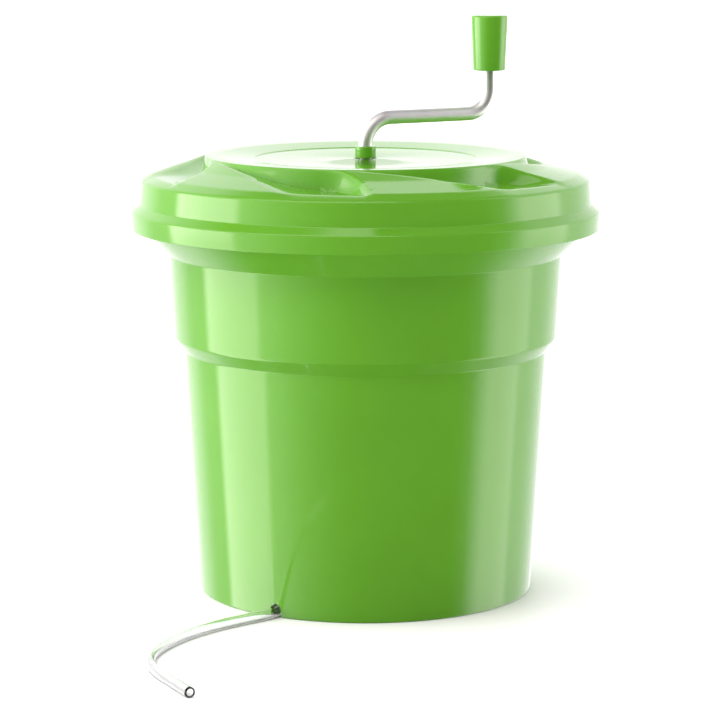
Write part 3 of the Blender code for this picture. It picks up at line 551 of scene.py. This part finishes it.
# ------------------------------------------------------------------------- lid
LID_WALL = 2.6 * MM
LID_STEPS = 720
LID_BORE_R = 8.0 * MM
BUSH_SEAT = (11.0 * MM, 296.3 * MM)
DISC_Z = 307.5 * MM
DISC_R = 77.5 * MM
DISC_EDGE_R = 86.0 * MM
PLATEAU = (112.4 * MM, 310.1 * MM)
SLOPE_HIGH = (128.0 * MM, 303.8 * MM)
SLOPE_LOW = (150.0 * MM, 298.0 * MM)
SHOULDER = (158.0 * MM, 293.6 * MM)
BAND_FOOT = (159.4 * MM, 276.6 * MM)
BRIM_TOP = (165.2 * MM, 271.5 * MM)
BRIM_FOOT = (165.0 * MM, 258.8 * MM)

LID_SHELF = RIM_TOP[1] + 0.3 * MM
LOCATING_R = 154.2 * MM
LOCATING_T = 2.4 * MM
LOCATING_FOOT = 263.0 * MM
CASE_BOSS = (58.0 * MM, 68.0 * MM)
CASE_BOSS_FOOT = 298.0 * MM

POCKETS = 6
POCKET_R = (112.6 * MM, 152.6 * MM)  # from the plateau's wall to the crest along the rim
POCKET_DROP = 16.0 * MM         # depth at the deep end, beside the plateau
POCKET_TANGENT_R = 112.6 * MM   # the crest leaves the plateau along a line this far from the axis
POCKET_LEAD_DEG = 2.0           # from that line's nearest point to the start of the ramp
POCKET_START_DEG = -153.0       # start of the first ramp, at the plateau
POCKET_SWEEP_DEG = 6.0          # lean of the steep side, from the plateau to the rim
INNER_WALL = 3.0 * MM           # plan width of the wall under the plateau
STEEP_WALL = 9.0 * MM           # and of the steep side
PAST_CREST = 1.3                # how far out it goes on leaning, in widths of the pocket
CORNER_R = 20.0 * MM            # rounded corner at the deep end, away from the plateau
CORNER_DEG = 9.0                # and along it
CREST_SOFT = 3.0 * MM           # how far the crest's rounding reaches, in depth
CREST_BEND = 8.0 * MM           # and the rounding where its line turns into the arc
WALL_BLEND = 1.2                # rounding where both walls meet, in shares of their rise

LID_OUTLINE = filleted([
    (LID_BORE_R, DISC_Z, 0.4 * MM),
    (DISC_R, DISC_Z, 0.5 * MM),
    (DISC_R + 1.0 * MM, DISC_Z + 0.5 * MM, 0.5 * MM),
    (PLATEAU[0] - 9 * MM, PLATEAU[1], 30 * MM),
    (PLATEAU[0], PLATEAU[1], 4 * MM),
    (SLOPE_HIGH[0], SLOPE_HIGH[1], 30 * MM),
    (SLOPE_LOW[0], SLOPE_LOW[1], 12 * MM),
    (SHOULDER[0], SHOULDER[1], 3 * MM),
    (BAND_FOOT[0], BAND_FOOT[1], 1.2 * MM),
    (BRIM_TOP[0], BRIM_TOP[1], 2.0 * MM),
    (BRIM_FOOT[0], BRIM_FOOT[1], 0.8 * MM),
    (BRIM_FOOT[0] - LID_WALL, BRIM_FOOT[1], 0.5 * MM),
    (BRIM_FOOT[0] - LID_WALL, LID_SHELF, 0.8 * MM),
    (LOCATING_R, LID_SHELF, 0.8 * MM),
    (LOCATING_R, LOCATING_FOOT, 0.8 * MM),
    (LOCATING_R - LOCATING_T, LOCATING_FOOT, 0.8 * MM),
    (LOCATING_R - LOCATING_T, LID_SHELF + LID_WALL, 0.8 * MM),
    (BAND_FOOT[0] - LID_WALL, LID_SHELF + LID_WALL, 0.8 * MM),
    (SHOULDER[0] - LID_WALL, SHOULDER[1] - LID_WALL, 1.5 * MM),
    (SLOPE_LOW[0] - 0.8 * MM, SLOPE_LOW[1] - LID_WALL, 6 * MM),
    (SLOPE_HIGH[0] - 0.8 * MM, SLOPE_HIGH[1] - LID_WALL, 12 * MM),
    (PLATEAU[0] - 1 * MM, PLATEAU[1] - LID_WALL, 2 * MM),
    (DISC_EDGE_R, PLATEAU[1] - LID_WALL, 0.8 * MM),
    (DISC_R, DISC_Z - LID_WALL, 0.8 * MM),
    (CASE_BOSS[1], DISC_Z - LID_WALL, 1.0 * MM),
    (CASE_BOSS[1], CASE_BOSS_FOOT),
    (CASE_BOSS[0], CASE_BOSS_FOOT),
    (CASE_BOSS[0], DISC_Z - LID_WALL, 1.0 * MM),
    (BUSH_SEAT[0], DISC_Z - LID_WALL, 1.0 * MM),
    BUSH_SEAT,
    (LID_BORE_R, BUSH_SEAT[1]),
], 5)
PRESSED_ABOVE = 280.0 * MM      # the pockets lie higher than this, on either face of the shell
PRESSED_FROM_R = 108.0 * MM
PRESSED_TO_R = SHOULDER[0] - 0.1 * MM
PRESSED_UNDER_R = PRESSED_TO_R - 1.7 * MM
FINE_RINGS = (107.0 * MM, 157.0 * MM)
FINE_RING_GAP = 0.8 * MM
TOP_COUNT = next(i for i, p in enumerate(LID_OUTLINE) if p.y < PRESSED_ABOVE)
SLOPING_TOP = [(p.x, p.y) for p in LID_OUTLINE[:TOP_COUNT]]


def soft_max(a, b, width):
    """The larger of two values, with the crease between them rounded."""
    near = np.maximum(width - np.abs(a - b), 0.0) / width
    return np.maximum(a, b) + near * near * width / 4


def pocket_depth(x, y):
    """How far the lid's top is pressed down at plan points, for ramps round the plateau.

    A ramp's floor runs straight from the foot of the plateau's wall to the
    crest, which is a line at first and then an arc beside the rim. At its deep
    end a steep side climbs to the start of the next ramp. It turns into the
    plateau's wall in a round corner.
    """
    inner, outer = POCKET_R
    step = 360.0 / POCKETS
    radius = np.hypot(x, y)
    azimuth = np.degrees(np.arctan2(y, x))
    across = np.clip((radius - inner) / (outer - inner), 0.0, PAST_CREST)
    lean = POCKET_SWEEP_DEG * across
    corner = np.clip((radius - inner) / CORNER_R, 0.0, 1.0)
    lean -= CORNER_DEG * (1 - np.sqrt(corner * (2 - corner)))
    share = ((azimuth - POCKET_START_DEG - lean) / step) % 1.0
    swing = np.radians(POCKET_LEAD_DEG + (step + lean) * share)
    crest = -soft_max(-POCKET_TANGENT_R / np.cos(swing), np.full_like(x, -outer), CREST_BEND)
    floor = POCKET_DROP * share * (1 - (radius - inner) / (crest - inner))
    floor = soft_max(floor, np.zeros_like(x), CREST_SOFT)
    from_wall = (radius - inner) / INNER_WALL
    from_side = (1 - share) * math.radians(step) * radius / STEEP_WALL
    near = -soft_max(-from_wall, -from_side, WALL_BLEND)
    rise = np.clip(near, 0.0, 1.0)
    return floor * rise * rise * (3 - 2 * rise)


def lid_top_z(x, y):
    """Height of the lid's top, pockets included."""
    radii, heights = zip(*SLOPING_TOP)
    return np.interp(np.hypot(x, y), radii, heights) - pocket_depth(x, y)


def lid_under_z(x, y):
    """Height of the surface that lies a wall's thickness under the lid's top.

    The thickness is kept straight up and at three tilts, each all the way round.
    """
    lowest = lid_top_z(x, y) - LID_WALL
    for tilt_deg in (30.0, 60.0, 85.0):
        reach = LID_WALL * math.sin(math.radians(tilt_deg))
        drop = LID_WALL * math.cos(math.radians(tilt_deg))
        for east, north in circle(reach, 12):
            lowest = np.minimum(lowest, lid_top_z(x + east, y + north) - drop)
    return lowest


def make_lid():
    """Lid shell, with its ramp-shaped finger pockets pressed in."""
    # Fine rings only where the pockets are, on both faces of the shell
    fine = []
    for a, b in zip(LID_OUTLINE, LID_OUTLINE[1:] + LID_OUTLINE[:1]):
        near, far = sorted((a.x, b.x))
        pressed = (far > FINE_RINGS[0] and near < FINE_RINGS[1]
                   and min(a.y, b.y) > PRESSED_ABOVE)
        parts = max(1, math.ceil((b - a).length / FINE_RING_GAP)) if pressed else 1
        fine += [a.lerp(b, k / parts) for k in range(parts)]
    # The widest ring parts the top from the underside
    widest = max(range(len(fine)), key=lambda i: fine[i].x)

    def press(places, ring_count, steps):
        x, y, z = places.T.copy()
        ring = np.repeat(np.arange(ring_count), steps)
        radius = np.hypot(x, y)
        chosen = (z > PRESSED_ABOVE) & (radius > PRESSED_FROM_R)
        top = chosen & (ring < widest) & (radius < PRESSED_TO_R)
        z[top] -= pocket_depth(x[top], y[top])
        under = chosen & (ring > widest) & (radius < PRESSED_UNDER_R)
        z[under] = np.minimum(z[under], lid_under_z(x[under], y[under]))
        return np.stack([x, y, z], axis=1)

    lid = revolved("lid_shell", [(p.x, p.y) for p in fine], LID_STEPS, shape=press)
    finish_piece(lid, "lid", "green_plastic", ["lid"], 48.0)


make_lid()

# ------------------------------------------------------- crank, collar and grip
ROD_R = 5.0 * MM
ROD_FOOT = 281.0 * MM
ROD_BEND_Z = 316.0 * MM
LOW_BEND_R = 19.5 * MM
HIGH_BEND_R = 17.5 * MM
ROD_TOP = 396.0 * MM
BEND_STEPS = 20
COLLAR_R = (5.2 * MM, 7.3 * MM)
COLLAR_GAP = 0.3 * MM           # between the collar and the lid
GRIP_TOP_R = 13.25 * MM
GRIP_FOOT_R = 11.5 * MM
GRIP_BORE_R = 5.3 * MM
CAP_DEPTH = 5.0 * MM
CAP_GAP = 0.15 * MM
grip_low, grip_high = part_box("grip")
KNOB_AXIS = Vector(((grip_low.x + grip_high.x) / 2, (grip_low.y + grip_high.y) / 2, 0.0))


def make_rod():
    """Crank rod, a round bar with two smooth bends and square-cut ends."""
    out = KNOB_AXIS.normalized()
    up = Vector((0.0, 0.0, 1.0))
    level = ROD_BEND_Z + LOW_BEND_R
    route = [up * ROD_FOOT]
    for k in range(BEND_STEPS + 1):
        angle = math.pi / 2 * k / BEND_STEPS
        route.append(out * (LOW_BEND_R * (1 - math.cos(angle)))
                     + up * (ROD_BEND_Z + LOW_BEND_R * math.sin(angle)))
    start = KNOB_AXIS.length - HIGH_BEND_R
    for k in range(BEND_STEPS + 1):
        angle = math.pi / 2 * k / BEND_STEPS
        route.append(out * (start + HIGH_BEND_R * math.sin(angle))
                     + up * (level + HIGH_BEND_R * (1 - math.cos(angle))))
    route.append(KNOB_AXIS + up * ROD_TOP)
    curve = bpy.data.curves.new("rod", 'CURVE')
    curve.dimensions = '3D'
    curve.bevel_depth = ROD_R
    curve.bevel_resolution = 10
    curve.use_fill_caps = True
    spline = curve.splines.new('POLY')
    spline.points.add(len(route) - 1)
    for knot, point in zip(spline.points, route):
        knot.co = (*point, 1.0)
    guide = bpy.data.objects.new("rod_guide", curve)
    bpy.context.scene.collection.objects.link(guide)
    bpy.context.view_layer.update()
    evaluated = guide.evaluated_get(bpy.context.evaluated_depsgraph_get())
    mesh = bpy.data.meshes.new_from_object(evaluated)
    bm = bmesh.new()
    bm.from_mesh(mesh)
    bmesh.ops.remove_doubles(bm, verts=bm.verts, dist=0.01 * MM)
    bmesh.ops.recalc_face_normals(bm, faces=bm.faces)
    bm.to_mesh(mesh)
    bm.free()
    bpy.data.objects.remove(guide, do_unlink=True)
    finish_piece(new_object("rod", mesh), "crank", "satin_rod", ["crank_rod"])


def make_collar():
    """Sleeve round the foot of the rod."""
    bore_r, outer_r = COLLAR_R
    foot = DISC_Z + COLLAR_GAP
    outline = filleted([
        (bore_r, ROD_BEND_Z, 0.2 * MM),
        (outer_r, ROD_BEND_Z, 0.7 * MM),
        (outer_r, foot, 0.3 * MM),
        (bore_r, foot, 0.2 * MM),
    ])
    finish_piece(revolved("collar", outline, 96), "crank", "green_plastic", ["shaft_collar"])


def make_grip():
    """Tapered grip with a soft top edge, and its plug."""
    foot, top = grip_low.z, grip_high.z
    chamber_r, chamber_foot = 8.3 * MM, 389.0 * MM
    outline = filleted([
        (chamber_r, top, 0.25 * MM),
        (GRIP_TOP_R, top, 1.6 * MM),
        (GRIP_FOOT_R, foot, 0.8 * MM),
        (GRIP_BORE_R, foot, 0.5 * MM),
        (GRIP_BORE_R, chamber_foot),
        (chamber_r, chamber_foot),
    ])
    grip = revolved("grip_shell", outline, 128, KNOB_AXIS)
    finish_piece(grip, "grip", "green_plastic", ["grip"])
    cap_r = chamber_r - CAP_GAP
    outline = filleted([
        (0.0, top),
        (cap_r, top, 0.3 * MM),
        (cap_r, top - CAP_DEPTH),
        (0.0, top - CAP_DEPTH),
    ])
    cap = revolved("grip_plug", outline, 96, KNOB_AXIS)
    finish_piece(cap, "grip", "green_plastic", ["grip_cap"])


make_rod()
make_collar()
make_grip()

# --------------------------------------------------- finish of the other pieces
slot_of = {s["node"]: s["material_slot"] for s in frame["record"]["subparts"]}
for node, obj in frame["nodes"].items():
    if obj.hide_render:         # replaced by a finer piece
        continue
    obj.data.materials.clear()
    obj.data.materials.append(MATERIALS[slot_of[node]])


# ------------------------------------------------------------- studio and light
FLOOR_HALF = 9.0                # from the spinner to the floor's edge, in metres
FLOOR_WHITE = (0.87, 0.87, 0.87)
FLOOR_GREY = (0.45, 0.45, 0.45)


def make_floor():
    """Wide white floor. The spinner's glossy faces mirror the studio below it instead."""
    bm = bmesh.new()
    bmesh.ops.create_grid(bm, x_segments=1, y_segments=1, size=FLOOR_HALF)
    mesh = bpy.data.meshes.new("floor")
    bm.to_mesh(mesh)
    bm.free()
    nodes = Nodes("floor_white")
    # White, but greyer in what it sends back to the spinner
    path = nodes.tree.nodes.new("ShaderNodeLightPath")
    nodes.link(nodes.mix(path.outputs["Is Diffuse Ray"], FLOOR_WHITE, FLOOR_GREY), "Base Color")
    nodes.set(Roughness=0.55)
    floor = new_object("floor", mesh)
    mesh.materials.append(nodes.mat)
    floor.visible_glossy = False


# The studio is a glow at infinity. Its angles are in degrees: round it from the
# camera's side, left (-) to right (+), and up from the horizon.
STUDIO = [                      # (angle round, brightness near the horizon)
    (-180.0, 1.5), (-150.0, 1.7), (-138.0, 1.7), (-127.0, 1.2), (-112.0, 1.4),
    (-107.0, 6.0), (-69.0, 5.2), (-65.0, 2.2), (-56.0, 1.7), (-44.0, 0.95),
    (-28.0, 0.4), (-12.0, 0.1), (62.0, 0.06), (72.0, 0.6), (80.0, 2.4),
    (86.0, 3.7), (112.0, 3.3), (118.0, 1.9), (130.0, 1.5), (150.0, 1.5), (180.0, 1.5),
]
BACKDROP_LEVEL = 1.8            # what is brighter than this is a softbox
BACKDROP_TINT = (1.0, 0.96, 1.0)
BACKDROP_FADE = (40.0, 54.0)    # heights over which the backdrop darkens
STUDIO_TOP = 0.1                # what is left of it above them
SOFTBOX_TINT = (1.0, 0.93, 0.88)
SOFTBOX_RISE = (-14.0, -4.0)    # heights over which the softboxes grow brighter
SOFTBOX_GAIN = 1.45
SOFTBOX_FADE = (12.0, 24.0)     # heights over which they end
FILL_MIDDLE = -25.0             # a fill above the camera, a little to its left
FILL_REACH = (40.0, 65.0)       # angles to each side over which it ends
FILL_HEIGHTS = (36.0, 46.0)     # heights over which it begins
FILL_LEVEL = 2.3
NADIR_FADE = (-62.0, -36.0)     # heights over which the studio darkens under the spinner
NADIR_LEVEL = 0.06
BACKGROUND = 1.2                # the plain white that the camera sees instead
FLOOR_SUN = 3.4
FLOOR_SUN_DEG = 70.0            # its width in the sky, for a soft shadow
FLOOR_SUN_TILT_DEG = (-8.0, -14.0)


class Sums:
    """Short calls for the arithmetic of the world's node tree."""

    def __init__(self, tree):
        self.tree = tree

    def node(self, operation, *values):
        node = self.tree.nodes.new("ShaderNodeMath")
        node.operation = operation
        for socket, value in zip(node.inputs, values):
            if hasattr(value, "is_linked"):
                self.tree.links.new(value, socket)
            else:
                socket.default_value = value
        return node.outputs["Value"]

    def step(self, value, low, high, low_out, high_out):
        """A smooth change from low_out to high_out while the value goes from low to high."""
        node = self.tree.nodes.new("ShaderNodeMapRange")
        node.interpolation_type = 'SMOOTHSTEP'
        for name, number in (("From Min", low), ("From Max", high),
                             ("To Min", low_out), ("To Max", high_out)):
            node.inputs[name].default_value = number
        self.tree.links.new(value, node.inputs["Value"])
        return node.outputs["Result"]


def looking_at(tree, sums):
    """The angle round and the height, in degrees, of the way that a ray goes."""
    place = tree.nodes.new("ShaderNodeTexCoord")
    split = tree.nodes.new("ShaderNodeSeparateXYZ")
    tree.links.new(place.outputs["Generated"], split.inputs["Vector"])
    back = sums.node('MULTIPLY', split.outputs["Y"], -1.0)
    azimuth = sums.node('DEGREES', sums.node('ARCTAN2', split.outputs["X"], back))
    elevation = sums.node('DEGREES', sums.node('ARCSINE', split.outputs["Z"]))
    return azimuth, elevation


def studio_level(tree, sums, azimuth):
    """The brightness that STUDIO gives for an angle round."""
    ramp = tree.nodes.new("ShaderNodeValToRGB")
    around = sums.node('ADD', sums.node('DIVIDE', azimuth, 360.0), 0.5)
    tree.links.new(around, ramp.inputs["Fac"])
    stops = ramp.color_ramp.elements
    while len(stops) < len(STUDIO):
        stops.new(0.5)
    brightest = max(level for _, level in STUDIO)
    for stop, (angle, level) in zip(stops, STUDIO):
        stop.position = angle / 360.0 + 0.5
        stop.color = (*([level / brightest] * 3), 1.0)
    return sums.node('MULTIPLY', ramp.outputs["Color"], brightest)


def background(tree, tint, strength):
    """A background shader whose strength is a number or a node's output."""
    light = tree.nodes.new("ShaderNodeBackground")
    light.inputs["Color"].default_value = (*tint, 1.0)
    if hasattr(strength, "is_linked"):
        tree.links.new(strength, light.inputs["Strength"])
    else:
        light.inputs["Strength"].default_value = strength
    return light.outputs["Background"]


def make_world():
    """White backdrop behind, tall softboxes at both sides, dark towards the camera."""
    world = bpy.data.worlds.new("studio")
    bpy.context.scene.world = world
    world.use_nodes = True
    tree = world.node_tree
    tree.nodes.clear()
    sums = Sums(tree)
    azimuth, elevation = looking_at(tree, sums)
    level = studio_level(tree, sums, azimuth)

    backdrop = sums.node('MINIMUM', level, BACKDROP_LEVEL)
    backdrop_fade = sums.step(elevation, *BACKDROP_FADE, 1.0, STUDIO_TOP)
    white = sums.node('MULTIPLY', backdrop, backdrop_fade)

    softbox = sums.node('SUBTRACT', level, backdrop)
    softbox_fade = sums.step(elevation, *SOFTBOX_FADE, 1.0, 0.0)
    gain = sums.step(elevation, *SOFTBOX_RISE, 1.0, SOFTBOX_GAIN)
    shaped = sums.node('MULTIPLY', softbox, sums.node('MULTIPLY', softbox_fade, gain))
    aside = sums.node('ABSOLUTE', sums.node('SUBTRACT', azimuth, FILL_MIDDLE))
    fill = sums.node('MULTIPLY', sums.step(aside, *FILL_REACH, 1.0, 0.0),
                     sums.step(elevation, *FILL_HEIGHTS, 0.0, FILL_LEVEL))
    warm = sums.node('ADD', shaped, fill)

    nadir_fade = sums.step(elevation, *NADIR_FADE, NADIR_LEVEL, 1.0)
    glow = tree.nodes.new("ShaderNodeAddShader")
    for socket, part, tint in zip(glow.inputs, (white, warm), (BACKDROP_TINT, SOFTBOX_TINT)):
        tree.links.new(background(tree, tint, sums.node('MULTIPLY', part, nadir_fade)), socket)

    path = tree.nodes.new("ShaderNodeLightPath")
    mix = tree.nodes.new("ShaderNodeMixShader")
    out = tree.nodes.new("ShaderNodeOutputWorld")
    tree.links.new(path.outputs["Is Camera Ray"], mix.inputs["Fac"])
    tree.links.new(glow.outputs["Shader"], mix.inputs[1])
    tree.links.new(background(tree, (1.0, 1.0, 1.0), BACKGROUND), mix.inputs[2])
    tree.links.new(mix.outputs["Shader"], out.inputs["Surface"])


def make_floor_light():
    """A soft light from above that falls on the floor alone; the spinner shades it."""
    light = bpy.data.lights.new("floor_sun", 'SUN')
    light.energy = FLOOR_SUN
    light.angle = math.radians(FLOOR_SUN_DEG)
    sun = bpy.data.objects.new("floor_sun", light)
    sun.rotation_euler = (*map(math.radians, FLOOR_SUN_TILT_DEG), 0.0)
    bpy.context.scene.collection.objects.link(sun)
    lit = bpy.data.collections.new("lit_by_floor_sun")
    lit.objects.link(bpy.data.objects["floor"])
    sun.light_linking.receiver_collection = lit


make_floor()
make_world()
make_floor_light()
